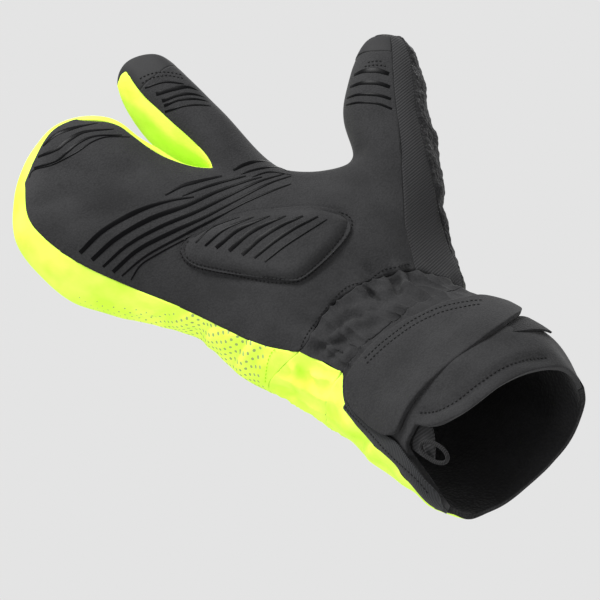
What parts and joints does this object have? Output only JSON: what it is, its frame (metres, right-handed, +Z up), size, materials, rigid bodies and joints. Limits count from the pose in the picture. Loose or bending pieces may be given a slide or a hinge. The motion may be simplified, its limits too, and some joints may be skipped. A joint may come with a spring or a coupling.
{
  "type": "lobster claw mitt",
  "caption": "Right-hand winter mitt with one wide finger lobe, a separate index finger and thumb, a gathered wrist and a strapped cuff.",
  "frame": {"origin": "centre of the mouth of the cuff, where the wrist goes in", "axes": "+Z up the hand from the cuff to the fingertips, +X to the thumb side, -Y to the palm side"},
  "size_m": [0.209, 0.0957, 0.2933],
  "materials": {
    "softshell_black": "matt knit face",
    "neon_fabric": "matt fluorescent knit",
    "twill_black": "matt diagonal twill",
    "terry_black": "matt looped pile",
    "touch_black": "smooth, slightly satin",
    "pad_black": "matt knit face over foam",
    "binding_black": "matt woven tape",
    "fastener_black": "matt ribbed loop fastener"
  },
  "bodies": {
    "root": {"back_panel": "neon_fabric", "closure_strap": "softshell_black", "cuff_back": "neon_fabric", "cuff_front": "softshell_black", "cuff_gusset": "twill_black", "edge_binding": "binding_black", "index_touch_panel": "touch_black", "loop_patch": "fastener_black", "palm_pad": "pad_black", "palm_panel": "softshell_black", "pull_loop": "binding_black", "thumb_back_panel": "terry_black", "thumb_side_panel": "twill_black", "thumb_touch_panel": "touch_black", "wrist_band_back": "neon_fabric", "wrist_band_front": "softshell_black"}
  },
  "joints": []
}
